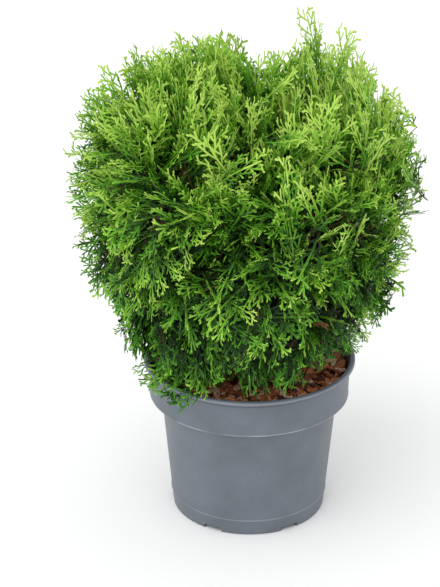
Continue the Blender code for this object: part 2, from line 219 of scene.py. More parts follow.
bpy.ops.mesh.primitive_plane_add(size=FLOOR_SIDE, location=(0.0, 0.0, -FLOOR_GAP))
floor = bpy.context.object
floor.name = "floor"
floor.data.materials.append(floor_material)
print("floor", FLOOR_SIDE, "m across")

# %% Sky and softbox
SKY_STRENGTH = 0.97
SUN_STRENGTH = 1.10
SUN_ANGLE = math.radians(60.0)
SUN_FROM = Vector((-0.55, -0.75, 1.15))

world = bpy.data.worlds.new("pale_sky")
bpy.context.scene.world = world
world.use_nodes = True
world.node_tree.nodes["Background"].inputs["Color"].default_value = linear("#FDFEFF")
world.node_tree.nodes["Background"].inputs["Strength"].default_value = SKY_STRENGTH

sun_data = bpy.data.lights.new("softbox", "SUN")
sun_data.energy = SUN_STRENGTH
sun_data.angle = SUN_ANGLE
sun = link_object("softbox", sun_data)
sun.rotation_euler = (-SUN_FROM).to_track_quat("-Z", "Y").to_euler()

bpy.context.scene.view_settings.view_transform = "Standard"
print("sky", SKY_STRENGTH, "softbox", SUN_STRENGTH)

# %% [markdown]
# ## Moulded plastic for the pot
#
# A nursery pot is thin polypropylene, injection moulded in one piece. New, it is an even blue-grey
# with a satin skin. Handling leaves faint cloudy patches, hair scratches and specks of dry soil,
# all far shallower than the wall. Clouds are a wide noise, scratches are a noise squeezed to thin
# upright lines, and specks are the cores of small scattered cells.

# %% Skin of the pot
CLOUD_MM = 38.0
SCRATCH_MM = 2.2
SCRATCH_SQUEEZE = 0.11
SCRATCH_SHOWS = 0.14
SPECK_CELL_MM = 9.0
SPECK_SHOWS = 0.30
SKIN_GRAIN_MM = 1.2

pot_plastic, pot_shader = new_material("moulded_polypropylene", "#636A74", 0.46, 1.49)
pot_place = add_node(pot_plastic, "ShaderNodeTexCoord", {})
pot_cloud = add_node(pot_plastic, "ShaderNodeTexNoise", {
    "Vector": pot_place.outputs["Object"], "Scale": scale_for(CLOUD_MM), "Detail": 5.0,
    "Roughness": 0.62})
pot_tone = add_node(pot_plastic, "ShaderNodeValToRGB", {"Fac": pot_cloud.outputs["Fac"]})
pot_tone.color_ramp.elements[0].position = 0.30
pot_tone.color_ramp.elements[0].color = linear("#5C636C")
pot_tone.color_ramp.elements[1].position = 0.72
pot_tone.color_ramp.elements[1].color = linear("#69717B")
pot_squeeze = add_node(pot_plastic, "ShaderNodeMapping", {
    "Vector": pot_place.outputs["Object"], "Scale": (1.0, 1.0, SCRATCH_SQUEEZE),
    "Rotation": (0.35, 0.20, 0.0)})
pot_lines = add_node(pot_plastic, "ShaderNodeTexNoise", {
    "Vector": pot_squeeze.outputs["Vector"], "Scale": scale_for(SCRATCH_MM), "Detail": 2.0})
pot_scratch = add_node(pot_plastic, "ShaderNodeMapRange", {
    "Value": pot_lines.outputs["Fac"], "From Min": 0.71, "From Max": 0.78,
    "To Max": SCRATCH_SHOWS})
pot_cells = add_node(pot_plastic, "ShaderNodeTexVoronoi", {
    "Vector": pot_place.outputs["Object"], "Scale": scale_for(SPECK_CELL_MM)})
pot_core = add_node(pot_plastic, "ShaderNodeMapRange", {
    "Value": pot_cells.outputs["Distance"], "From Min": 0.075, "From Max": 0.035,
    "To Max": SPECK_SHOWS})
pot_marks = add_node(pot_plastic, "ShaderNodeMath", {
    0: pot_scratch.outputs["Result"], 1: pot_core.outputs["Result"]}, operation="MAXIMUM")
pot_colour = add_node(pot_plastic, "ShaderNodeMix", {
    "Factor": pot_marks.outputs["Value"], 6: pot_tone.outputs["Color"], 7: linear("#B4B8BC")},
    data_type="RGBA")
pot_rough = add_node(pot_plastic, "ShaderNodeMapRange", {
    "Value": pot_cloud.outputs["Fac"], "To Min": 0.38, "To Max": 0.56})
pot_grain = add_node(pot_plastic, "ShaderNodeTexNoise", {
    "Vector": pot_place.outputs["Object"], "Scale": scale_for(SKIN_GRAIN_MM), "Detail": 2.0})
pot_bump = add_node(pot_plastic, "ShaderNodeBump", {
    "Height": pot_grain.outputs["Fac"], "Strength": 0.10, "Distance": 0.2 * MM})
pot_plastic.node_tree.links.new(pot_rough.outputs["Result"], pot_shader.inputs["Roughness"])
pot_plastic.node_tree.links.new(pot_bump.outputs["Normal"], pot_shader.inputs["Normal"])
print("skin of", pot_plastic.name)

# %% [markdown]
# The lip, the lower edge of the collar and the step of the foot ring get a painted highlight, and a
# painted shadow darkens the band under the lip and the band under the collar. Each band lies at one
# height, so it is a colour that is mixed in by how near the surface is to that height. The clouds
# break some of the bands into patches.

# %% Painted highlights on the edges and painted shadows under them
BAND_CORE = 0.15
PATCH_GAPS = 0.85
HIGHLIGHT_AND_SHADE_BANDS = [
    # from mm, to mm, colour, how much of it, how broken
    # rows: lip highlight, shadow under the lip, collar-foot highlight, shadow under the collar,
    # foot-ring highlight, all painted
    (144.2, 145.6, "#9CA1A8", 0.50, 0.0),
    (139.2, 142.4, "#31363D", 0.62, 0.0),
    (110.4, 112.2, "#C3C7CB", 0.62, 1.0),
    (106.5, 110.4, "#3B4048", 0.55, 0.0),
    (14.2, 15.9, "#9DA2A8", 0.45, 0.6),
]
# each band mixes a painted highlight or a painted shadow into the pot's colour at its height
pot_height = add_node(pot_plastic, "ShaderNodeSeparateXYZ", {
    "Vector": pot_place.outputs["Object"]})
pot_with_painted_light = pot_colour.outputs[2]
for low_mm, high_mm, tint, amount, broken in HIGHLIGHT_AND_SHADE_BANDS:
    middle_mm = 0.5 * (low_mm + high_mm)
    away = add_node(pot_plastic, "ShaderNodeMath", {
        0: pot_height.outputs["Z"], 1: -middle_mm * MM}, operation="ADD")
    away_size = add_node(pot_plastic, "ShaderNodeMath", {0: away.outputs["Value"]},
                         operation="ABSOLUTE")
    band = add_node(pot_plastic, "ShaderNodeMapRange", {
        "Value": away_size.outputs["Value"], "From Min": 0.5 * (high_mm - low_mm) * MM,
        "From Max": BAND_CORE * (high_mm - low_mm) * MM, "To Max": amount})
    patches = add_node(pot_plastic, "ShaderNodeMapRange", {
        "Value": pot_cloud.outputs["Fac"], "From Min": 0.40, "From Max": 0.62,
        "To Min": 1.0 - PATCH_GAPS * broken, "To Max": 1.0})
    share = add_node(pot_plastic, "ShaderNodeMath", {
        0: band.outputs["Result"], 1: patches.outputs["Result"]}, operation="MULTIPLY")
    tinted = add_node(pot_plastic, "ShaderNodeMix", {
        "Factor": share.outputs["Value"], 6: pot_with_painted_light, 7: linear(tint)}, data_type="RGBA")
    pot_with_painted_light = tinted.outputs[2]
pot_plastic.node_tree.links.new(pot_with_painted_light, pot_shader.inputs["Base Color"])
print("bands on the pot", len(HIGHLIGHT_AND_SHADE_BANDS))

# %% [markdown]
# ## The pot
#
# The real pot is a tapered body under a wide collar, with a rounded lip, a thin ring low on the body
# and a raised base. It is a turned shape, so one outline is spun with a Screw modifier, as in the
# frame but with four times the steps. That keeps the wall thin and even all the way round.

# %% Measures of the pot
POT_HEIGHT = 0.1465
WALL = 0.0014
LIP_RADIUS = 0.0950
LIP_INNER_RADIUS = 0.0914
LIP_HEIGHT = 0.0034
LIP_ROUND = 0.0010
COLLAR_TOP_RADIUS = 0.0905
COLLAR_FOOT_RADIUS = 0.0896
COLLAR_FOOT_Z = 0.1105
BODY_TOP_RADIUS = 0.0795
BODY_FOOT_RADIUS = 0.0708
FOOT_LINE_Z = 0.0150
FOOT_STEP = 0.0006
BASE_RADIUS = 0.0693
SKIRT = 0.0020
BASE_RAISE = 0.0045
PLATE = 0.0020
PAD_RADIUS = 0.0300
PAD_SLOPE = 0.0040
print("pot", POT_HEIGHT, "m high and", 2.0 * LIP_RADIUS, "m across its lip")

# %% Helpers for pieces made with modifiers
def bmesh_piece(name, work):
    """An object from a bmesh, which is freed."""
    mesh = bpy.data.meshes.new(name)
    work.to_mesh(mesh)
    work.free()
    return link_object(name, mesh)


def bake(piece):
    """Replaces an object's mesh by its evaluated shape, and drops its modifiers."""
    graph = bpy.context.evaluated_depsgraph_get()
    mesh = bpy.data.meshes.new_from_object(piece.evaluated_get(graph))
    piece.modifiers.clear()
    piece.data = mesh
    return piece


print("helpers ready")

# %% Turn the shell
POT_STEPS = 128
WELD = 0.05 * MM

pot_outline = [
    (0.0, PLATE),
    (PAD_RADIUS - PAD_SLOPE * 0.5, PLATE),
    (PAD_RADIUS + PAD_SLOPE * 0.5, BASE_RAISE + PLATE),
    (BASE_RADIUS - SKIRT, BASE_RAISE + PLATE),
    (BODY_FOOT_RADIUS - WALL, FOOT_LINE_Z),
    (BODY_TOP_RADIUS - WALL, COLLAR_FOOT_Z + WALL),
    (COLLAR_FOOT_RADIUS - WALL, COLLAR_FOOT_Z + WALL),
    (COLLAR_TOP_RADIUS - WALL, POT_HEIGHT - LIP_HEIGHT - WALL),
    (LIP_INNER_RADIUS - LIP_ROUND, POT_HEIGHT - LIP_ROUND),
    (LIP_INNER_RADIUS, POT_HEIGHT),
    (LIP_RADIUS - LIP_ROUND, POT_HEIGHT),
    (LIP_RADIUS, POT_HEIGHT - LIP_ROUND),
    (LIP_RADIUS, POT_HEIGHT - LIP_HEIGHT),
    (COLLAR_TOP_RADIUS, POT_HEIGHT - LIP_HEIGHT),
    (COLLAR_FOOT_RADIUS, COLLAR_FOOT_Z + 2.2 * LIP_ROUND),
    (COLLAR_FOOT_RADIUS + 0.4 * LIP_ROUND, COLLAR_FOOT_Z + LIP_ROUND),
    (COLLAR_FOOT_RADIUS - 0.5 * LIP_ROUND, COLLAR_FOOT_Z),
    (BODY_TOP_RADIUS, COLLAR_FOOT_Z),
    (BODY_FOOT_RADIUS, FOOT_LINE_Z + FOOT_STEP),
    (BODY_FOOT_RADIUS + FOOT_STEP, FOOT_LINE_Z),
    (BODY_FOOT_RADIUS - 0.3 * FOOT_STEP, FOOT_LINE_Z - 1.5 * FOOT_STEP),
    (BASE_RADIUS, FOOT_STEP),
    (BASE_RADIUS - FOOT_STEP, 0.0),
    (BASE_RADIUS - SKIRT, 0.0),
    (BASE_RADIUS - SKIRT, BASE_RAISE),
    (PAD_RADIUS + PAD_SLOPE, BASE_RAISE),
    (PAD_RADIUS, 0.0),
    (0.0, 0.0),
]
pot_mesh = bpy.data.meshes.new("pot_shell")
pot_mesh.from_pydata(
    [(radius, 0.0, height) for radius, height in pot_outline],
    [(i, i + 1) for i in range(len(pot_outline) - 1)], [])
pot = link_object("pot_shell", pot_mesh)
turn = pot.modifiers.new("Turn", "SCREW")
turn.steps = POT_STEPS
turn.render_steps = POT_STEPS
turn.use_merge_vertices = True
turn.merge_threshold = WELD
print("outline of the pot", len(pot_outline), "points")

# %% [markdown]
# Water drains through holes in the raised base, and notches in the foot let it run out from under
# the pot. A wedge whose corners follow the round wall cuts each notch, and a short cylinder cuts
# each hole, as Boolean modifiers. The turned surface stays as it is everywhere else.

# %% Cut the notches and the drain holes
NOTCH_COUNT = 6
NOTCH_HEIGHT = 0.0040
NOTCH_WIDTH = math.radians(14.5)
NOTCH_TURN = math.radians(-87.5)
NOTCH_REACH = 0.0060
DRAIN_RADIUS = 0.0050
DRAIN_RING_RADIUS = 0.0500
DRAIN_SIDES = 24

cutters = []
for i in range(NOTCH_COUNT):
    angle = NOTCH_TURN + (i + 0.5) * 2.0 * math.pi / NOTCH_COUNT
    wedge = bmesh.new()
    bmesh.ops.create_cube(wedge, size=1.0)
    for corner in wedge.verts:
        radius = BASE_RADIUS + (NOTCH_REACH if corner.co.x > 0 else -NOTCH_REACH)
        around = angle + (NOTCH_WIDTH * 0.5 if corner.co.y > 0 else -NOTCH_WIDTH * 0.5)
        height = NOTCH_HEIGHT if corner.co.z > 0 else -NOTCH_HEIGHT
        corner.co = (radius * math.cos(around), radius * math.sin(around), height)
    cutters.append(bmesh_piece(f"notch_{i + 1}", wedge))
    hole = bmesh.new()
    bmesh.ops.create_cone(hole, cap_ends=True, segments=DRAIN_SIDES,
                          radius1=DRAIN_RADIUS, radius2=DRAIN_RADIUS, depth=PLATE * 4.0)
    drain = bmesh_piece(f"drain_{i + 1}", hole)
    around = angle + math.pi / NOTCH_COUNT
    middle = Vector((math.cos(around), math.sin(around), 0.0)) * DRAIN_RING_RADIUS
    drain.location = middle + Vector((0.0, 0.0, BASE_RAISE + PLATE * 0.5))
    cutters.append(drain)
for cutter in cutters:
    opening = pot.modifiers.new("Cut", "BOOLEAN")
    opening.object = cutter
print("cutters", len(cutters))

# %% [markdown]
# The edges of a moulding are never sharp. A narrow Bevel is enough for them to catch a line of
# light. The modifiers are then applied, so that the pot is a finished mesh, and the cutters go.

# %% Round the edges and finish the pot
EDGE_ROUND = 0.35 * MM
BEVEL_OVER = math.radians(35.0)
SHARP_OVER = math.radians(30.0)

edges = pot.modifiers.new("Edges", "BEVEL")
edges.width = EDGE_ROUND
edges.segments = 2
edges.limit_method = "ANGLE"
edges.angle_limit = BEVEL_OVER
bake(pot)
for cutter in cutters:
    bpy.data.objects.remove(cutter, do_unlink=True)
pot.data.shade_smooth()
pot.data.set_sharp_from_angle(angle=SHARP_OVER)
pot.data.materials.clear()
pot.data.materials.append(pot_plastic)
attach(pot, BODY)
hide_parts("nursery_pot")
print("pot", len(pot.data.polygons), "faces")

# %% [markdown]
# ## Root ball and bed of mulch
#
# The root ball is peat held together by roots, and the mulch is pine bark. Neither needs a new shape
# where it is covered: the frame's solids stay, with a crumbly finish, and carry the loose chips.
# Peat, split bark and the bark of the limbs all drift between a dark and a pale tone, so one
# function makes them all.

# %% A finish of two tones, and the bed
def two_tone(name, dark, pale, grain_mm, span, relief, relief_mm, roughness, ior, squeeze=1.0,
             **grain):
    """Drifts from a dark to a pale tone in grains of one size, with a relief that follows them."""
    material, shader = new_material(name, dark, roughness, ior)
    place = add_node(material, "ShaderNodeTexCoord", {})
    squeezed = add_node(material, "ShaderNodeMapping", {
        "Vector": place.outputs["Object"], "Scale": (1.0, 1.0, squeeze)})
    grains = add_node(material, "ShaderNodeTexNoise", {
        "Vector": squeezed.outputs["Vector"], "Scale": scale_for(grain_mm), **grain})
    tone = add_node(material, "ShaderNodeValToRGB", {"Fac": grains.outputs["Fac"]})
    for stop, position, code in zip(tone.color_ramp.elements, span, (dark, pale)):
        stop.position = position
        stop.color = linear(code)
    bump = add_node(material, "ShaderNodeBump", {
        "Height": grains.outputs["Fac"], "Strength": relief, "Distance": relief_mm * MM})
    material.node_tree.links.new(tone.outputs["Color"], shader.inputs["Base Color"])
    material.node_tree.links.new(bump.outputs["Normal"], shader.inputs["Normal"])
    return material


def finish_node(node, material):
    """Gives a carried-over solid its finish, slot by slot."""
    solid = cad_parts[node]
    if not solid.material_slots:
        solid.data.materials.append(material)
    for place in solid.material_slots:
        place.material = material


CRUMBLY = {"span": (0.40, 0.68), "relief": 0.8, "relief_mm": 1.2, "ior": 1.45,
           "Detail": 6.0, "Roughness": 0.7}
finish_node("root_ball", two_tone("fibrous_peat", "#20150E", "#4A3526", 3.0,
                                  roughness=0.95, **CRUMBLY))
finish_node("bark_mulch", two_tone("fine_bark_crumbs", "#24130C", "#6B3B22", 3.5,
                                   roughness=0.92, **CRUMBLY))
print("root ball and bed finished")

# %% [markdown]
# ## Bark chips
#
# Milled pine bark splits along its fibres, so a chip is a flat splinter, 5 to 20 mm long, with torn
# ends. Each one is a short loft of five uneven four-cornered sections. Two dozen shapes are dealt
# out with their own size, turn and tilt, flat-shaded so that their split faces stay crisp.

# %% Materials of the chips
SPLIT = {"span": (0.36, 0.66), "relief": 0.6, "relief_mm": 0.5, "roughness": 0.82, "ior": 1.5,
         "Detail": 4.0, "Roughness": 0.65, "Distortion": 1.2}
chip_materials = [
    two_tone("pine_bark_dark", "#3A1D12", "#5E3220", 4.0, **SPLIT),
    two_tone("pine_bark_red", "#7E3F22", "#B0653B", 4.0, **SPLIT),
    two_tone("pine_bark_orange", "#A85D33", "#D68A56", 4.5, **SPLIT),
    two_tone("pine_bark_inner", "#CC9A76", "#F0CFB4", 5.0, **SPLIT),
]
CHIP_SHARES = [0.20, 0.34, 0.30, 0.16]
print("chip materials", len(chip_materials))

# %% Shapes of the chips
CHIP_SHAPES = 24
CHIP_SECTIONS = 5
CHIP_HALF_WIDTH = 0.24
CHIP_HALF_THICKNESS = 0.09
CHIP_CORNERS = ((-1, -1), (1, -1), (1, 1), (-1, 1))


def chip_shape():
    """A splinter one unit long and about half as wide: its points and triangles."""
    points = []
    for i in range(CHIP_SECTIONS):
        share = i / (CHIP_SECTIONS - 1)
        swell = 0.25 + 0.75 * math.sin(math.pi * (0.08 + 0.84 * share)) ** 0.6
        half = CHIP_HALF_WIDTH * swell * dice.uniform(0.75, 1.2)
        thick = CHIP_HALF_THICKNESS * swell * dice.uniform(0.7, 1.3)
        shift = dice.normal(0.0, 0.03)
        lift = dice.normal(0.0, 0.03)
        for across, up in CHIP_CORNERS:
            points.append((share - 0.5 + dice.normal(0.0, 0.02), shift + across * half,
                           lift + up * thick))
    triangles = []
    for i in range(CHIP_SECTIONS - 1):
        for k in range(4):
            a, b = 4 * i + k, 4 * i + (k + 1) % 4
            triangles += [(a, a + 4, b + 4), (a, b + 4, b)]
    last = 4 * (CHIP_SECTIONS - 1)
    triangles += [(0, 1, 2), (0, 2, 3), (last, last + 2, last + 1), (last, last + 3, last + 2)]
    return np.array(points), np.array(triangles)


chip_shapes = [chip_shape() for _ in range(CHIP_SHAPES)]
print("chip shapes", len(chip_shapes))

# %% Turn a chip and find the bed
def turn_matrix(yaw, pitch, roll):
    """A rotation about X, then Y, then Z."""
    cx, sx, cy, sy, cz, sz = (f(a) for a in (roll, pitch, yaw) for f in (math.cos, math.sin))
    about_x = np.array([[1, 0, 0], [0, cx, -sx], [0, sx, cx]])
    about_y = np.array([[cy, 0, sy], [0, 1, 0], [-sy, 0, cy]])
    about_z = np.array([[cz, -sz, 0], [sz, cz, 0], [0, 0, 1]])
    return about_z @ about_y @ about_x


def node_tree_of(*nodes):
    """A search tree over the surfaces of some CAD nodes."""
    points, polygons = [], []
    for node in nodes:
        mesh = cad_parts[node].data
        first = len(points)
        points += [vertex.co.copy() for vertex in mesh.vertices]
        polygons += [[first + k for k in polygon.vertices] for polygon in mesh.polygons]
    return BVHTree.FromPolygons(points, polygons)


mulch_tree = node_tree_of("bark_mulch")
print("surface of the bed ready for the chips")

# %% Scatter the chips
CHIP_COUNT = 1250
CHIP_LENGTHS = (7.0 * MM, 20.0 * MM)
SHORT_CHIP = 0.75
CHIP_TILTS = (0.22, 0.25)
CHIP_LIFT = (0.2 * MM, 3.4 * MM)
CHIP_BED_RADIUS = 0.0862
CHIP_WALL_RADIUS = 0.0874
CHIP_TOP = 0.1445
EDGE_BIAS = 0.42
ABOVE_BED = 0.2
FULL_TURN = 6.28

chip_parts, chip_kinds = [], []
for i in range(CHIP_COUNT):
    around = dice.uniform(0.0, 2.0 * math.pi)
    distance = CHIP_BED_RADIUS * dice.uniform(0.02, 1.0) ** EDGE_BIAS
    x, y = distance * math.cos(around), distance * math.sin(around)
    hit = mulch_tree.ray_cast(Vector((x, y, ABOVE_BED)), Vector((0.0, 0.0, -1.0)))[0]
    if hit is None:
        continue
    shape, faces = chip_shapes[dice.integers(CHIP_SHAPES)]
    length = dice.uniform(*CHIP_LENGTHS) * (SHORT_CHIP if dice.random() < 0.5 else 1.0)
    stretch = np.array([length, length * dice.uniform(0.5, 1.1), length * dice.uniform(0.6, 1.3)])
    rotation = turn_matrix(dice.uniform(0, FULL_TURN), dice.normal(0.0, CHIP_TILTS[0]),
                           dice.normal(0.0, CHIP_TILTS[1]))
    placed = (shape * stretch) @ rotation.T
    placed += np.array([x, y, hit.z + dice.uniform(*CHIP_LIFT)])
    reach = np.hypot(placed[:, 0], placed[:, 1])
    pull = np.minimum(1.0, CHIP_WALL_RADIUS / np.maximum(reach, 1e-6))
    placed[:, :2] *= pull[:, None]
    placed[:, 2] = np.minimum(placed[:, 2], CHIP_TOP)
    chip_parts.append((placed, faces))
    chip_kinds.append(np.full(len(faces), dice.choice(len(chip_materials), p=CHIP_SHARES)))
chips = array_mesh("mulch_chips", *join(chip_parts), np.concatenate(chip_kinds),
                   chip_materials, False)
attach(chips, BODY)
print("chips", len(chip_parts), "triangles", len(chips.data.polygons))

# %% [markdown]
# ## Bark
#
# The stem and the boughs have thin, grey to red-brown bark that shreds in long strips. The strips
# are real relief in the mesh, and the material adds the fibres and the change of colour between the
# weathered face of a strip and the fresh bark under it.

# %% Material of the bark
BARK_SQUEEZE = 0.12
bark = two_tone("shredding_bark", "#3A261B", "#8C6D56", 1.1, span=(0.34, 0.68), relief=0.7,
                relief_mm=0.6, roughness=0.88, ior=1.5, squeeze=BARK_SQUEEZE,
                Detail=5.0, Roughness=0.6)
twig_bark = new_material("young_twig_bark", "#5A3B22", 0.75, 1.5)[0]
print("material", bark.name)

# %% [markdown]
# ## Stem and boughs
#
# The line and the taper of each limb are read from the frame: its solid is cut across in even steps,
# and each cut gives a centre and a radius. A finer tube then follows those centres. Each bough
# starts inside the stem, with a swollen collar as on a real branch, so that the two look grown
# together.

# %% Read the limbs from the frame
STEM_CUTS = 26
BOUGH_CUTS = 9
FOOT_MARGIN = 0.3 * MM
TIP_MARGIN = 0.1 * MM


def node_points(node):
    """The points of a CAD node, a row for each."""
    return np.array([vertex.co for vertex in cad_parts[node].data.vertices])


def cut_across(node, direction, count):
    """Centres and radii of a limb where planes across this direction cut it."""
    points = node_points(node)
    pairs = np.array([edge.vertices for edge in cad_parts[node].data.edges])
    height = points @ direction
    levels = np.linspace(height.min() + FOOT_MARGIN, height.max() - TIP_MARGIN, count)
    centres, radii = [], []
    for level in levels:
        low, high = height[pairs[:, 0]], height[pairs[:, 1]]
        across = (low - level) * (high - level) < 0
        share = ((level - low) / np.where(high == low, 1.0, high - low))[across, None]
        ends = points[pairs[across]]
        met = ends[:, 0] + (ends[:, 1] - ends[:, 0]) * share
        centre = met.mean(axis=0)
        centres.append(centre)
        radii.append(np.linalg.norm(met - centre, axis=1).mean())
    return np.array(centres), np.array(radii)


stem_line, stem_radii = cut_across("main_stem", np.array([0.0, 0.0, 1.0]), STEM_CUTS)
bough_lines = {}
for node in sorted(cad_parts):
    if node.startswith("bough_"):
        points = node_points(node)
        middle = points.mean(axis=0)
        direction = np.linalg.svd(points - middle, full_matrices=False)[2][0]
        outward = middle * np.array([1.0, 1.0, 0.0])
        direction *= 1.0 if direction @ outward > 0 else -1.0
        bough_lines[node[len("bough_"):]] = cut_across(node, direction, BOUGH_CUTS)
print("stem", np.round(stem_radii[[0, -1]] * 1000, 1), "mm; boughs", len(bough_lines))

# %% Tubes with bark relief
RELIEF_STRIP = 2.6 * MM
RELIEF_ALONG = 14.0 * MM
RELIEF_OCTAVES = 3
RELIEF_SHIFT = 50.0


def travel_along(line):
    """How far along a line each of its points lies."""
    steps = np.linalg.norm(np.diff(line, axis=0), axis=1)
    return np.concatenate([[0.0], np.cumsum(steps)])


def even_line(points, radii, count):
    """The line and its radii again with evenly spaced points, on a smooth curve."""
    points = np.asarray(points, float)
    spans = travel_along(points)
    places = np.linspace(0.0, spans[-1], count)
    line = np.stack([np.interp(places, spans, points[:, k]) for k in range(3)], axis=1)
    for _ in range(2):
        line[1:-1] = 0.25 * line[:-2] + 0.5 * line[1:-1] + 0.25 * line[2:]
    return line, np.interp(places, spans, radii)


def tube(line, radii, sides, relief):
    """Points and triangles of a tube with a closed tip and, where asked, strips of relief."""
    along = unit(np.gradient(line, axis=0))
    first = unit(np.cross(along, [0.31, 0.27, 0.91]))
    second = np.cross(along, first)
    turn = np.linspace(0.0, 2.0 * math.pi, sides, endpoint=False)
    ring = (first[:, None] * np.cos(turn)[None, :, None]
            + second[:, None] * np.sin(turn)[None, :, None])
    grow = np.ones((len(line), sides))
    if relief:
        travel = travel_along(line)
        for i in range(len(line)):
            for k in range(sides):
                spot = ring[i, k] * radii[i] / RELIEF_STRIP
                place = Vector(spot + along[i] * (travel[i] / RELIEF_ALONG)
                               + line[0] * RELIEF_SHIFT)
                rough = noise.turbulence(place, RELIEF_OCTAVES, False)
                grow[i, k] += relief * rough - relief * 0.5
    points = line[:, None] + ring * (radii[:, None] * grow)[:, :, None]
    points = np.concatenate([points.reshape(-1, 3), line[:1], line[-1:]])
    triangles = []
    for i in range(len(line) - 1):
        for k in range(sides):
            a, b = i * sides + k, i * sides + (k + 1) % sides
            triangles += [(a, b, b + sides), (a, b + sides, a + sides)]
    foot, tip = len(points) - 2, len(points) - 1
    last = (len(line) - 1) * sides
    for k in range(sides):
        triangles.append((foot, (k + 1) % sides, k))
        triangles.append((tip, last + k, last + (k + 1) % sides))
    return points, np.array(triangles)


print("strips of bark", RELIEF_STRIP / MM, "mm wide")

# %% Grow the stem and boughs
STEM_RINGS = 150
STEM_SIDES = 36
STEM_RELIEF = 0.42
BOUGH_RINGS = 40
BOUGH_SIDES = 14
BOUGH_RELIEF = 0.36
BOUGH_RISE = 2.5 * MM
COLLAR_SWELL = 1.35
COLLAR_FADE = 1.15

limbs = [tube(*even_line(stem_line, stem_radii, STEM_RINGS), STEM_SIDES, STEM_RELIEF)]
bough_tips = {}
for name, (line, radii) in bough_lines.items():
    near = np.argmin(np.linalg.norm(stem_line - line[0] + np.array([0, 0, BOUGH_RISE]), axis=1))
    line = np.concatenate([stem_line[near:near + 1], line])
    radii = np.concatenate([[radii[0] * COLLAR_SWELL], radii])
    radii[1] *= COLLAR_FADE
    limbs.append(tube(*even_line(line, radii, BOUGH_RINGS), BOUGH_SIDES, BOUGH_RELIEF))
    bough_tips[name] = (line[-1], unit(line[-1] - line[-3]), radii[-1])
limb_points, limb_triangles = join(limbs)
limb_piece = array_mesh("stem_and_boughs", limb_points, limb_triangles,
                        np.zeros(len(limb_triangles)), [bark], True)
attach(limb_piece, BODY)
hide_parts("main_stem", *[f"bough_{name}" for name in bough_lines])
print("limbs", len(limbs), "triangles", len(limb_triangles))

# %% [markdown]
# ## Greens
#
# Scale leaves are matt to satin green. Young tips are yellow-green, older growth is a deep green that
# cools low on the shaded side, and dead shoots go brown. There are a million small faces, so a leaf's
# colour is plain: each step of the two green scales is a material of its own, and the sprays deal
# them out. The gloss is low, because tiny scales scatter it.

# %% Materials of the leaves
WARM_GREENS = ["#152C08", "#2A5410", "#477E18", "#639E24", "#88BA38", "#B4D65C"]
COOL_GREENS = ["#0F2404", "#1E4109", "#346A12", "#4B8A1A", "#6AA82A", "#94C848"]
DEAD_BROWNS = ["#63452A", "#8C6433"]
LEAF_ROUGHNESS = 0.50
LEAF_IOR = 1.42
LEAF_SHEEN = 0.28
leaf_materials = []
for family, codes in (("warm", WARM_GREENS), ("cool", COOL_GREENS), ("dead", DEAD_BROWNS)):
    for step, code in enumerate(codes):
        material, shader = new_material(f"scale_leaf_{family}_{step + 1}", code,
                                        LEAF_ROUGHNESS, LEAF_IOR)
        shader.inputs["Specular IOR Level"].default_value = LEAF_SHEEN
        leaf_materials.append(material)
LEVELS = len(WARM_GREENS)
DEAD_FIRST = 2 * LEVELS
print("leaf materials", len(leaf_materials))

# %% [markdown]
# ## One spray
#
# A spray of this plant is flat. From its axis, side shoots leave left and right in turn, and short
# shoots leave those again. Every shoot is clad in tiny scales pressed to it, so it looks like a flat
# cord, a bit under 2 mm wide, with a blunt end. Each shoot here is a thin ribbon with a raised
# middle, and each short shoot is a single leaf outline of six faces. It is as wide as the widest
# shoots in life, so that the number of shoots stays within what a scene can hold.

# %% One shoot
SHOOT_HALF_WIDTH = 0.84 * MM
CREST = 0.45
BLUNT_SHARE = 0.84
SHOOT_FOOT = 0.65
SHOOT_WAIST = 0.86
SHOOT_TIP = 1.12
PATH_STEPS = 8


def ribbon(start, heading, bend, length, steps, half_width):
    """A shoot in its spray's plane: points in threes across it, widest just before its blunt end."""
    points, triangles = [], []
    x, y = start
    angle = heading
    shares = [BLUNT_SHARE * i / (steps - 1) for i in range(steps)]
    for i, share in enumerate(shares):
        if i:
            span = length * (share - shares[i - 1])
            x += math.cos(angle) * span
            y += math.sin(angle) * span
            angle += bend * (share - shares[i - 1])
        side = (-math.sin(angle), math.cos(angle))
        width = half_width * (SHOOT_FOOT if i == 0 else 1.0 if i % 2 else SHOOT_WAIST)
        width = half_width * SHOOT_TIP if i == steps - 1 else width
        points.append((x - side[0] * width, y - side[1] * width, 0.0))
        points.append((x, y, width * CREST))
        points.append((x + side[0] * width, y + side[1] * width, 0.0))
        if i:
            a, b = 3 * (i - 1), 3 * i
            triangles += [(a, a + 1, b + 1), (a, b + 1, b), (a + 1, a + 2, b + 2),
                          (a + 1, b + 2, b + 1)]
    rest = length * (1.0 - BLUNT_SHARE)
    points.append((x + math.cos(angle) * rest, y + math.sin(angle) * rest, 0.0))
    last, tip = 3 * (steps - 1), 3 * steps
    triangles += [(last, last + 1, tip), (last + 1, last + 2, tip)]
    return np.array(points), np.array(triangles)


def place_on(path_start, heading, bend, length, share):
    """Where a shoot is after this share of its length, and its heading there."""
    x, y = path_start
    angle = heading
    for _ in range(PATH_STEPS):
        x += math.cos(angle) * length * share / PATH_STEPS
        y += math.sin(angle) * length * share / PATH_STEPS
        angle += bend * share / PATH_STEPS
    return (x, y), angle


print("a shoot is", 2.0 * SHOOT_HALF_WIDTH / MM, "mm wide")

# %% Shapes of the sprays
SPRAY_SHAPES = 14
SPRAY_LENGTH = 50.0 * MM
SPRAY_SWAY = 0.22
AXIS_STEPS = 7
SIDE_SHOOTS = 9
SIDE_STEPS = 3
SIDE_LENGTH = 0.42
SIDE_WIDTH = 0.95
SIDE_ANGLES = (30.0, 52.0)
LAST_SIDES = 0.85
LAST_LENGTH = 0.65
SHORT_EVERY = 5.4 * MM
SHORT_LENGTHS = (4.5, 9.0)
SHORT_ANGLES = (34.0, 52.0)
SHORT_STEPS = 2
SHORT_WIDTH = 0.92
UNEVEN_MM = 0.35
OLDEST = 0.0
YOUNGEST = 1.3


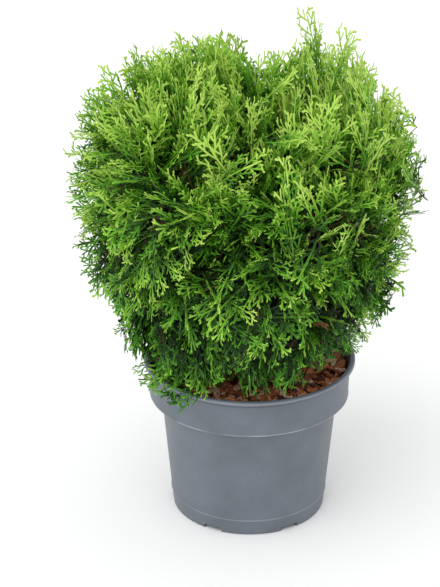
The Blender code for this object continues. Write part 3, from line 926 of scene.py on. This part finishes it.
def spray_shape(fullness, spread):
    """One spray along +Y, with the shoot number and the age of each triangle, 0 old to 1 young."""
    up = math.pi / 2
    sway = dice.normal(0.0, SPRAY_SWAY)
    axis = ribbon((0.0, 0.0), up, sway, SPRAY_LENGTH, AXIS_STEPS, SHOOT_HALF_WIDTH)
    ribbons = [(axis, 0.25, 1.05)]
    for i in range(SIDE_SHOOTS):
        share = 0.10 + 0.84 * i / (SIDE_SHOOTS - 1)
        start, angle = place_on((0.0, 0.0), up, sway, SPRAY_LENGTH, share)
        hand = 1 if i % 2 else -1
        open_angle = hand * math.radians(dice.uniform(*SIDE_ANGLES)) * spread
        reach = math.sin(math.pi * min(1.0, 0.16 + 0.72 * share)) ** 0.8
        length = SPRAY_LENGTH * SIDE_LENGTH * reach * fullness * dice.uniform(0.6, 1.3)
        length *= 1.0 if share < LAST_SIDES else LAST_LENGTH
        bend = -hand * dice.uniform(0.1, 0.5)
        side_shoot = ribbon(start, angle + open_angle, bend, length, SIDE_STEPS,
                            SHOOT_HALF_WIDTH * SIDE_WIDTH)
        ribbons.append((side_shoot, share - 0.1, share + 0.35))
        shorts = int(round(length / SHORT_EVERY))
        for k in range(shorts):
            part = (k + 0.7) / (shorts + 0.4)
            foot, foot_angle = place_on(start, angle + open_angle, bend, length, part)
            side = 1 if k % 2 else -1
            short = dice.uniform(*SHORT_LENGTHS) * MM * (1.15 - 0.55 * part)
            tilt = side * math.radians(dice.uniform(*SHORT_ANGLES))
            leaf = ribbon(foot, foot_angle + tilt, 0.0, short, SHORT_STEPS,
                          SHOOT_HALF_WIDTH * SHORT_WIDTH)
            ribbons.append((leaf, share + 0.2 * part, share + 0.4))
    ages, owners = [], []
    for number, ((points, triangles), start_age, end_age) in enumerate(ribbons):
        points[:, 2] += dice.normal(0.0, UNEVEN_MM) * MM
        ages.append(np.linspace(start_age, end_age, len(triangles)))
        owners.append(np.full(len(triangles), number))
    points, triangles = join([shoot for shoot, _, _ in ribbons])
    return {
        "points": points, "triangles": triangles,
        "ages": np.clip(np.concatenate(ages), OLDEST, YOUNGEST), "owners": np.concatenate(owners),
        "shoots": len(ribbons),
    }


spray_shapes = [spray_shape(dice.uniform(0.7, 1.1), dice.uniform(0.85, 1.05))
                for _ in range(SPRAY_SHAPES)]
print("spray shapes", len(spray_shapes), "triangles each",
      [len(shape["triangles"]) for shape in spray_shapes])

# %% [markdown]
# A spray's tip is young and bright and its foot is old and dark, so its colours climb the green scale
# along it; the climb is steep, so that the feet deep in the crown also carry painted shade. Each
# shoot strays a little from that, and a dead spray takes the browns.

# %% Deal sprays out as one mesh
# young growth is brighter, and the steep climb also paints shade onto the feet of the sprays
CLIMB_WITH_AGE_AND_SHADE = 5.2
EVEN_AGE = 0.64
MOOD_SPREAD = 0.45


def spray_arrays(sprays):
    """Points, triangles and material numbers of many sprays, each turned, sized and bent."""
    parts, kinds = [], []
    shape_of = dice.integers(0, SPRAY_SHAPES, len(sprays["foot"]))
    for number, shape in enumerate(spray_shapes):
        chosen = np.nonzero(shape_of == number)[0]
        if not len(chosen):
            continue
        size = (sprays["length"][chosen] / SPRAY_LENGTH)[:, None]
        x = shape["points"][None, :, 0] * size * sprays["width"][chosen][:, None]
        y = shape["points"][None, :, 1] * size
        z = shape["points"][None, :, 2] * size
        share = y / sprays["length"][chosen][:, None]
        cup = sprays["cup"][chosen][:, None] * x * x / SPRAY_LENGTH
        along, face = sprays["along"][chosen], sprays["face"][chosen]
        across = np.cross(along, face)
        placed = (sprays["foot"][chosen][:, None]
                  + across[:, None] * x[..., None] + along[:, None] * y[..., None]
                  + face[:, None] * (z + cup)[..., None]
                  + sprays["droop"][chosen][:, None] * (share * share)[..., None])
        offsets = np.arange(len(chosen)) * len(shape["points"])
        faces = shape["triangles"][None] + offsets[:, None, None]
        parts.append((placed.reshape(-1, 3), faces.reshape(-1, 3)))
        mood = dice.normal(0.0, MOOD_SPREAD, (len(chosen), shape["shoots"]))[:, shape["owners"]]
        climb = CLIMB_WITH_AGE_AND_SHADE * (shape["ages"][None] - EVEN_AGE)
        level = sprays["level"][chosen][:, None] + climb + mood
        level = np.clip(np.round(level), 0, LEVELS - 1)
        level = level + LEVELS * sprays["cool"][chosen][:, None]
        dead = DEAD_FIRST + (shape["owners"][None] % 2)
        kinds.append(np.where(sprays["dead"][chosen][:, None], dead, level).ravel())
    return *join(parts), np.concatenate(kinds)


print("green levels", LEVELS)

# %% [markdown]
# ## Where the sprays go
#
# A mass of foliage is dense outside and bare inside, because leaves die where no light reaches them.
# Spray tips are therefore dealt over the outer surface of each mass of the frame, with even spacing,
# and a few over its inner faces. High on the plant the sprays rise, low on it they hang outwards.
# From its tip each spray runs back into the mass, and that end is where a twig must carry it.

# %% Places for the sprays
NEAR_NEIGHBOUR = 0.045
OFF_SURFACE = 2.0 * MM

mass_nodes = sorted(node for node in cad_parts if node.startswith("foliage_"))
crown_tree = node_tree_of(*mass_nodes)


def surface_samples(node, count):
    """Random points on a node's surface with their normals, and whether they face open air."""
    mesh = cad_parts[node].data
    mesh.calc_loop_triangles()
    corners = np.array([[mesh.vertices[k].co for k in t.vertices] for t in mesh.loop_triangles])
    normals = np.cross(corners[:, 1] - corners[:, 0], corners[:, 2] - corners[:, 0])
    areas = np.linalg.norm(normals, axis=1) * 0.5
    chosen = dice.choice(len(areas), count, p=areas / areas.sum())
    u, v = dice.random(count), dice.random(count)
    flip = u + v > 1.0
    u, v = np.where(flip, 1.0 - u, u), np.where(flip, 1.0 - v, v)
    a, b, c = corners[chosen, 0], corners[chosen, 1], corners[chosen, 2]
    places = a + (b - a) * u[:, None] + (c - a) * v[:, None]
    directions = unit(normals)[chosen]
    open_air = np.array([
        crown_tree.ray_cast(Vector(p + n * OFF_SURFACE), Vector(n), NEAR_NEIGHBOUR)[0] is None
        for p, n in zip(places, directions)])
    return places, directions, open_air


def spaced(places, spacing):
    """Indices of places, in order, that keep this distance from every earlier one."""
    kept = []
    for i, place in enumerate(places):
        if not kept or np.min(np.linalg.norm(places[kept] - place, axis=1)) > spacing:
            kept.append(i)
    return np.array(kept)


print("masses", len(mass_nodes))

# %% [markdown]
# A spray leaves the crown outwards, and the higher it is the more it rises. It leans to one side or
# the other, and gravity bends it. Some tips stand proud of the mass and most lie below its surface,
# where they get less light and are given painted shade as well. Tips are kept up off the mulch and
# clear of the rim, so that the bed shows at the front and at the right.

# %% Rules of growth
CROWN_MIDDLE = np.array([0.0, 0.0, 0.235])
HALF_CROWN = 0.15
LENGTH_RANGE = (32.0 * MM, 60.0 * MM)
RISE_LOW = -1.0
RISE_GAIN = 1.75
RISE_CURVE = 1.3
RISE_RIGHT = 0.45
RISE_SPREAD = 0.35
LEAN_SPREAD = 0.72
DROOP_LOW = -0.22
DROOP_GAIN = 0.42
DROOP_SPREAD = 0.08
PROUD_SHARE = 0.28
PROUD_MM = (-2.0, 8.0)
SUNK_MM = (-20.0, -1.0)
RIM_CLEAR_RADIUS = 0.075
RIM_CLEAR_Z = 0.160
RIM_SCATTER_MM = 20.0
MULCH_CLEAR_Z = 0.143
RIGHT_CLEAR_X = 0.052
RIGHT_CLEAR_Z = 0.170


def flat_side(look, along):
    """The nearest directions to these looks that are square to the sprays."""
    return unit(look - along * np.sum(look * along, axis=1, keepdims=True))


def growth(tips, normals, heart, height):
    """The direction, flat side, length and droop of the sprays with these tips."""
    count = len(tips)
    out = unit(0.5 * unit(tips - heart) + 0.6 * unit(tips - CROWN_MIDDLE) + 0.3 * normals)
    sideways = unit(np.cross([0.0, 0.0, 1.0], out))
    upward = np.cross(out, sideways)
    rise = RISE_LOW + RISE_GAIN * height ** RISE_CURVE
    rise = rise + RISE_RIGHT * np.clip(tips[:, 0] / HALF_CROWN, -1, 1)
    rise += dice.normal(0.0, RISE_SPREAD, count)
    lean = dice.normal(0.0, LEAN_SPREAD, count)
    along = unit(0.80 * out + upward * rise[:, None] + sideways * lean[:, None])
    length = dice.uniform(*LENGTH_RANGE, count)
    droop = np.zeros((count, 3))
    bend = DROOP_LOW + DROOP_GAIN * height + dice.normal(0.0, DROOP_SPREAD, count)
    droop[:, 2] = length * bend
    loose = unit(dice.normal(0.0, 1.0, (count, 3)) + out * 0.8)
    return along, flat_side(loose, along), length, droop


def settle(tips, normals):
    """The tips moved proud of the mass or into it, clear of mulch and rim, and how far they stand."""
    count = len(tips)
    stand = np.where(dice.random(count) < PROUD_SHARE, dice.uniform(*PROUD_MM, count),
                     dice.uniform(*SUNK_MM, count)) * MM
    tips = tips + normals * stand[:, None]
    over_pot = np.hypot(tips[:, 0], tips[:, 1]) < RIM_CLEAR_RADIUS
    tips[:, 2] = np.where(over_pot, np.maximum(tips[:, 2], MULCH_CLEAR_Z), tips[:, 2])
    clear = np.where(tips[:, 0] > RIGHT_CLEAR_X, RIGHT_CLEAR_Z, RIM_CLEAR_Z)
    beside_rim = (~over_pot | (tips[:, 0] > RIGHT_CLEAR_X)) & (tips[:, 2] < clear)
    clear = clear + dice.uniform(0.0, RIM_SCATTER_MM, count) * MM
    tips[:, 2] = np.where(beside_rim, clear, tips[:, 2])
    return tips, stand


print("sprays", LENGTH_RANGE[0] / MM, "to", LENGTH_RANGE[1] / MM, "mm long")

# %% [markdown]
# High sprays and those that stand proud get painted light, and low and deep ones painted shade, as
# steps on the green scale. The green cools lower down. Some sprays are seen edge on, so they are
# narrow.
# The inner ones are drawn in, made wide and dark with painted shade, and close the gaps between the
# outer ones.

# %% Rules of colour, and the sprays they give
CROWN_LOW = 0.15
CROWN_HIGH = 0.43
INNER_DRAW = 0.86
INNER_WIDTH = 2.2
INNER_SHADE = 1.6
LEVEL_LOW = -0.15
PAINTED_LIGHT_BY_HEIGHT = 3.6
LEVEL_SPREAD = 0.65
PAINTED_SHADE_BY_DEPTH = 85.0
LEVEL_DEPTHS = (-18.0 * MM, 8.0 * MM)
LEVEL_LIFT = 0.45
COOL_LOW = 0.75
COOL_BY_HEIGHT = 1.3
COOL_BY_RIGHT = 1.2
COOL_SHARES = (0.08, 0.85)
EDGE_ON_SHARE = 0.45
EDGE_ON_WIDTHS = (0.35, 0.65)
FULL_WIDTHS = (0.7, 1.1)
CUP_SPREAD = 0.8
DEAD_SHARE = 0.003


def grow_sprays(tips, normals, heart, outer):
    """The sprays whose tips lie at these places, each as arrays of its measures."""
    count = len(tips)
    if not outer:
        tips = CROWN_MIDDLE + INNER_DRAW * (tips - CROWN_MIDDLE)
    height = np.clip((tips[:, 2] - CROWN_LOW) / (CROWN_HIGH - CROWN_LOW), 0.0, 1.0)
    along, face, length, droop = growth(tips, normals, heart, height)
    tips, stand = settle(tips, normals)
    # painted light: higher sprays step up the green scale
    level = LEVEL_LOW + PAINTED_LIGHT_BY_HEIGHT * height + dice.normal(0.0, LEVEL_SPREAD, count)
    # painted shade: inner sprays are dark sheets, and sunk tips step down the scale
    level -= 0.0 if outer else INNER_SHADE
    level += PAINTED_SHADE_BY_DEPTH * np.clip(stand, *LEVEL_DEPTHS) + LEVEL_LIFT
    cool_share = COOL_LOW - COOL_BY_HEIGHT * height - COOL_BY_RIGHT * tips[:, 0]
    cool_share = np.clip(cool_share, *COOL_SHARES)
    return {
        "foot": tips - along * length[:, None] - droop, "along": along, "face": face,
        "length": length, "droop": droop,
        "width": np.where(dice.random(count) < EDGE_ON_SHARE,
                          dice.uniform(*EDGE_ON_WIDTHS, count),
                          dice.uniform(*FULL_WIDTHS, count)) * (1.0 if outer else INNER_WIDTH),
        "cup": dice.normal(0.0, CUP_SPREAD, count),
        "level": level, "cool": dice.random(count) < cool_share,
        "dead": dice.random(count) < DEAD_SHARE,
    }


print("inner sprays are", INNER_SHADE, "levels darker")

# %% [markdown]
# ## Shoots that break the outline
#
# No two plants have the same outline. What makes this one is a ring of single shoots that stand out
# from the ball, and a few that hang over the left of the rim. Their tips are placed by where they
# are in the picture, on the upright plane through the stem, or in front of the rim.

# %% Tips of the outline
LEFT_TIPS = [(148, 53), (128, 60), (107, 68), (89, 90), (86, 108), (78, 128), (74, 145), (76, 165),
             (71, 182), (78, 200), (75, 215), (82, 245), (83, 260), (89, 272), (100, 283),
             (112, 299), (114, 330), (133, 340), (131, 351)]
RIGHT_TIPS = [(375, 76), (386, 90), (398, 100), (408, 111), (411, 139), (405, 152), (414, 167),
              (424, 191), (409, 215), (414, 245), (403, 267), (394, 282), (381, 291), (375, 304),
              (371, 322), (368, 339), (357, 352)]
TOP_TIPS = [(165, 52), (181, 44), (200, 47), (215, 40), (228, 52), (240, 58), (250, 62), (262, 62),
            (272, 56), (290, 50), (303, 45), (330, 45), (345, 60), (360, 70)]
RIM_TIPS = [(172, 403), (181, 402), (160, 392), (141, 380), (138, 372), (166, 396), (188, 399),
            (197, 392), (176, 391), (152, 384), (190, 386), (168, 383), (158, 376), (182, 380)]
RIM_PLANES = [-0.076, -0.080, -0.066, -0.030, -0.022, -0.072, -0.084,
              -0.088, -0.078, -0.050, -0.086, -0.070, -0.058, -0.084]
STEM_PLANE = 0.0
STEM_PLANE_SPREAD = 0.012

outline_tips = [pixel_at_depth(tip, STEM_PLANE + dice.normal(0.0, STEM_PLANE_SPREAD))
                for tip in LEFT_TIPS + RIGHT_TIPS + TOP_TIPS]
outline_tips += [pixel_at_depth(tip, plane) for tip, plane in zip(RIM_TIPS, RIM_PLANES)]
outline_tips = np.array(outline_tips)
hearts = {node: node_points(node).mean(axis=0) for node in mass_nodes}
outline_owner = np.argmin([np.linalg.norm(outline_tips - hearts[node], axis=1)
                           for node in mass_nodes], axis=0)
print("outline tips", len(outline_tips))

# %% [markdown]
# An outline shoot points away from the middle of the crown, a little more upwards on the right, and
# turns its flat side to the front, where it shows against the floor. Its colour is set by its place,
# with painted light that brightens it higher up and on the right, the side away from the softbox.

# %% Sprays for the outline
OUTLINE_LENGTHS = (38.0 * MM, 62.0 * MM)
OUTLINE_WIDTHS = (0.55, 0.95)
OUTLINE_LOOK = np.array([0.0, -1.0, 0.25])
OUTLINE_LEVEL = 2.1
OUTLINE_LEVEL_Z = 0.25
PAINTED_LIGHT_PER_HEIGHT = 7.0
PAINTED_LIGHT_PER_RIGHT = 6.0
OUTLINE_COOL = 0.4
OUTLINE_COOL_Z = 0.2
COOL_PER_HEIGHT = 2.5
COOL_PER_RIGHT = 3.0
RIGHT_RISE = 0.30
LEFT_RISE = -0.4


def outline_sprays(tips):
    """Sprays that end at these tips and show their flat side to the front."""
    count = len(tips)
    out = unit(tips - CROWN_MIDDLE + dice.normal(0.0, 0.02, (count, 3)))
    out[:, 2] += RIGHT_RISE * np.abs(out[:, 0]) * np.where(out[:, 0] > 0, 1.0, LEFT_RISE)
    along = unit(out)
    length = dice.uniform(*OUTLINE_LENGTHS, count)
    look = OUTLINE_LOOK + dice.normal(0.0, 0.35, (count, 3))
    droop = np.zeros((count, 3))
    droop[:, 2] = length * dice.normal(0.05, 0.10, count)
    # painted light: brighter higher up and further to the right
    level = OUTLINE_LEVEL + PAINTED_LIGHT_PER_HEIGHT * (tips[:, 2] - OUTLINE_LEVEL_Z)
    level = level + PAINTED_LIGHT_PER_RIGHT * tips[:, 0]
    cool_share = OUTLINE_COOL - COOL_PER_HEIGHT * (tips[:, 2] - OUTLINE_COOL_Z)
    cool_share = cool_share - COOL_PER_RIGHT * tips[:, 0]
    return {
        "foot": tips - along * length[:, None] - droop, "along": along,
        "face": flat_side(look, along), "length": length, "droop": droop,
        "width": dice.uniform(*OUTLINE_WIDTHS, count),
        "cup": dice.normal(0.0, 0.5, count),
        "level": level + dice.normal(0.0, 0.5, count),
        "cool": dice.random(count) < np.clip(cool_share, 0.05, 0.9),
        "dead": np.zeros(count, bool),
    }


print("outline sprays", OUTLINE_LENGTHS[0] / MM, "to", OUTLINE_LENGTHS[1] / MM, "mm long")

# %% [markdown]
# ## Twigs
#
# A bough doesn't run to each spray. It forks, and forks again: from the heart of its mass to a few
# side branches, from those to smaller ones, and from those to the sprays. The feet of the sprays are
# gathered into groups by nearness, and each group gets a branch from the one before it, a little
# thinner each time and bent the way growth bends.

# %% Groups and single twigs
GROUPING_ROUNDS = 8
TWIG_SWING = 0.38


def groups_of(places, count):
    """The group number of each place, and the groups' middles, by nearness."""
    count = min(count, len(places))
    middles = places[dice.choice(len(places), count, replace=False)]
    for _ in range(GROUPING_ROUNDS):
        nearest = np.argmin(np.linalg.norm(places[:, None] - middles[None], axis=2), axis=1)
        middles = np.array([places[nearest == k].mean(axis=0) if np.any(nearest == k)
                            else middles[k] for k in range(count)])
    return nearest, middles


def twig(start, end, leave, arrive, thick, thin, steps, sides):
    """A bent twig that leaves and arrives in given directions."""
    reach = np.linalg.norm(end - start) * TWIG_SWING
    share = np.linspace(0.0, 1.0, steps + 1)[:, None]
    rest = 1.0 - share
    line = (start * rest ** 3 + 3.0 * (start + leave * reach) * share * rest ** 2
            + 3.0 * (end - arrive * reach) * share ** 2 * rest + end * share ** 3)
    radii = thick + (thin - thick) * share[:, 0]
    return tube(line, radii, sides, 0.0)


print("twigs swing out by", TWIG_SWING, "of their length")

# %% Fork from the bough to the sprays
# radius at the start and at the end, steps and sides; a bough's end starts as thick as its bough
SIDE_BRANCH = (1.1 * MM, 0.85 * MM, 5, 5)
SMALL_BRANCH = (0.8 * MM, 0.6 * MM, 3, 4)
LAST_TWIG = (0.55 * MM, 0.45 * MM, 2, 3)
BOUGH_END = (1.15 * MM, 6, 6)
SIDE_BRANCHES = 7
SPRAYS_PER_TWIG = 6
FORK_AT = 0.62
TWIG_AT = 0.72
INTO_SPRAY = 1.0 * MM


def grow_twigs(start, heading, thick, heart, sprays):
    """All the branches and twigs from a bough's tip to the feet of its sprays."""
    feet = sprays["foot"]
    to_heart = unit(heart - start)
    parts = [twig(start, heart, heading, to_heart, thick, *BOUGH_END)]
    nearest, middles = groups_of(feet, SIDE_BRANCHES)
    for k, middle in enumerate(middles):
        members = np.nonzero(nearest == k)[0]
        if not len(members):
            continue
        fork = heart + (middle - heart) * FORK_AT
        onward = unit(middle - heart)
        parts.append(twig(heart, fork, unit(to_heart + onward), onward, *SIDE_BRANCH))
        near, small = groups_of(feet[members], max(1, len(members) // SPRAYS_PER_TWIG))
        for j, centre in enumerate(small):
            some = members[near == j]
            if not len(some):
                continue
            end = fork + (centre - fork) * TWIG_AT
            toward = unit(centre - fork)
            parts.append(twig(fork, end, unit(onward + toward), toward, *SMALL_BRANCH))
            for i in some:
                along = sprays["along"][i]
                parts.append(twig(end, feet[i] + along * INTO_SPRAY, toward, along, *LAST_TWIG))
    return join(parts)


print("side branches in a mass", SIDE_BRANCHES)

# %% [markdown]
# ## Grow each mass
#
# Each mass of the frame gives way to its own sprays and twigs, which start at the tip of its bough.
# Leaves and twigs are joined apart, one mesh of each for a mass.

# %% Fill the masses
SAMPLES = 1500
OUTER_SPACING = 8.9 * MM
INNER_SPACING = 14.8 * MM
total_sprays = 0
total_triangles = 0


def together(sets):
    """Several sets of sprays as one."""
    return {key: np.concatenate([one[key] for one in sets]) for key in sets[0]}


for node in mass_nodes:
    name = node[len("foliage_"):]
    places, normals, open_air = surface_samples(node, SAMPLES)
    heart = hearts[node]
    sets = []
    for outer, spacing in ((True, OUTER_SPACING), (False, INNER_SPACING)):
        side = np.nonzero(open_air == outer)[0]
        side = side[spaced(places[side], spacing)]
        sets.append(grow_sprays(places[side], normals[side], heart, outer))
    sets.append(outline_sprays(outline_tips[outline_owner == mass_nodes.index(node)]))
    sprays = together(sets)
    points, triangles, kinds = spray_arrays(sprays)
    leaves = array_mesh(f"sprays_{name}", points, triangles, kinds, leaf_materials, True)
    tip, heading, thick = bough_tips[name]
    twig_points, twig_triangles = grow_twigs(tip, heading, thick, heart, sprays)
    twigs = array_mesh(f"twigs_{name}", twig_points, twig_triangles,
                       np.zeros(len(twig_triangles)), [twig_bark], True)
    for piece, slot in ((leaves, "leaf"), (twigs, "bark")):
        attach(piece, BODY)
        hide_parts(node)
    total_sprays += len(sprays["foot"])
    total_triangles += len(triangles) + len(twig_triangles)
    print(name, "sprays", len(sprays["foot"]), "triangles", len(triangles), len(twig_triangles))
print("all masses:", total_sprays, "sprays,", total_triangles, "triangles")

# %% [markdown]
# ## Leader shoots
#
# Two young shoots have outgrown the ball and stand above it, upright and narrow, with short side
# shoots that hug the axis. Each follows the line of its solid in the frame, from foot to tip.

# %% Grow the leaders
LEADER_FOOT_DEEPER = 22.0 * MM
LEADER_STARTS = [0.0, 0.30, 0.18, 0.22, 0.05]
LEADER_ENDS = [1.0, 0.80, 0.66, 0.92, 0.60]
LEADER_SHIFTS_MM = [(0, 0, 0), (7, 0, 0), (-6, -3, 0), (2, -3, 0), (4, 5, 0)]
LEADER_FACES = [(0.1, -1.0, 0.2), (0.4, -1.0, 0.0), (-0.3, -1.0, 0.1), (0.9, -0.5, 0.1),
                (0.6, 0.8, 0.0)]
LEADER_WIDTHS = [0.62, 0.55, 0.55, 0.5, 0.55]
LEADER_LEVELS = [4.4, 4.1, 3.9, 4.2, 3.6]


def leader_sprays(node):
    """A leader as one upright spray with four slighter ones that hug it."""
    points = node_points(node)
    foot, tip = points[points[:, 2].argmin()], points[points[:, 2].argmax()]
    foot = foot - np.array([0.0, 0.0, LEADER_FOOT_DEEPER])
    axis = tip - foot
    starts = foot + axis * np.array(LEADER_STARTS)[:, None]
    ends = foot + axis * np.array(LEADER_ENDS)[:, None]
    ends += np.array(LEADER_SHIFTS_MM) * MM
    along = unit(ends - starts)
    look = unit(np.array(LEADER_FACES))
    count = len(starts)
    return {
        "foot": starts, "along": along,
        "face": flat_side(look, along),
        "length": np.linalg.norm(ends - starts, axis=1), "droop": np.zeros((count, 3)),
        "width": np.array(LEADER_WIDTHS), "cup": np.zeros(count),
        "level": np.array(LEADER_LEVELS), "cool": np.zeros(count, bool),
        "dead": np.zeros(count, bool),
    }


for node in sorted(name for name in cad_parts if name.startswith("leader_shoot")):
    points, triangles, kinds = spray_arrays(leader_sprays(node))
    leader = array_mesh(f"sprays_{node}", points, triangles, kinds, leaf_materials, True)
    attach(leader, BODY)
    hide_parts(node)
    print(node, "triangles", len(triangles))
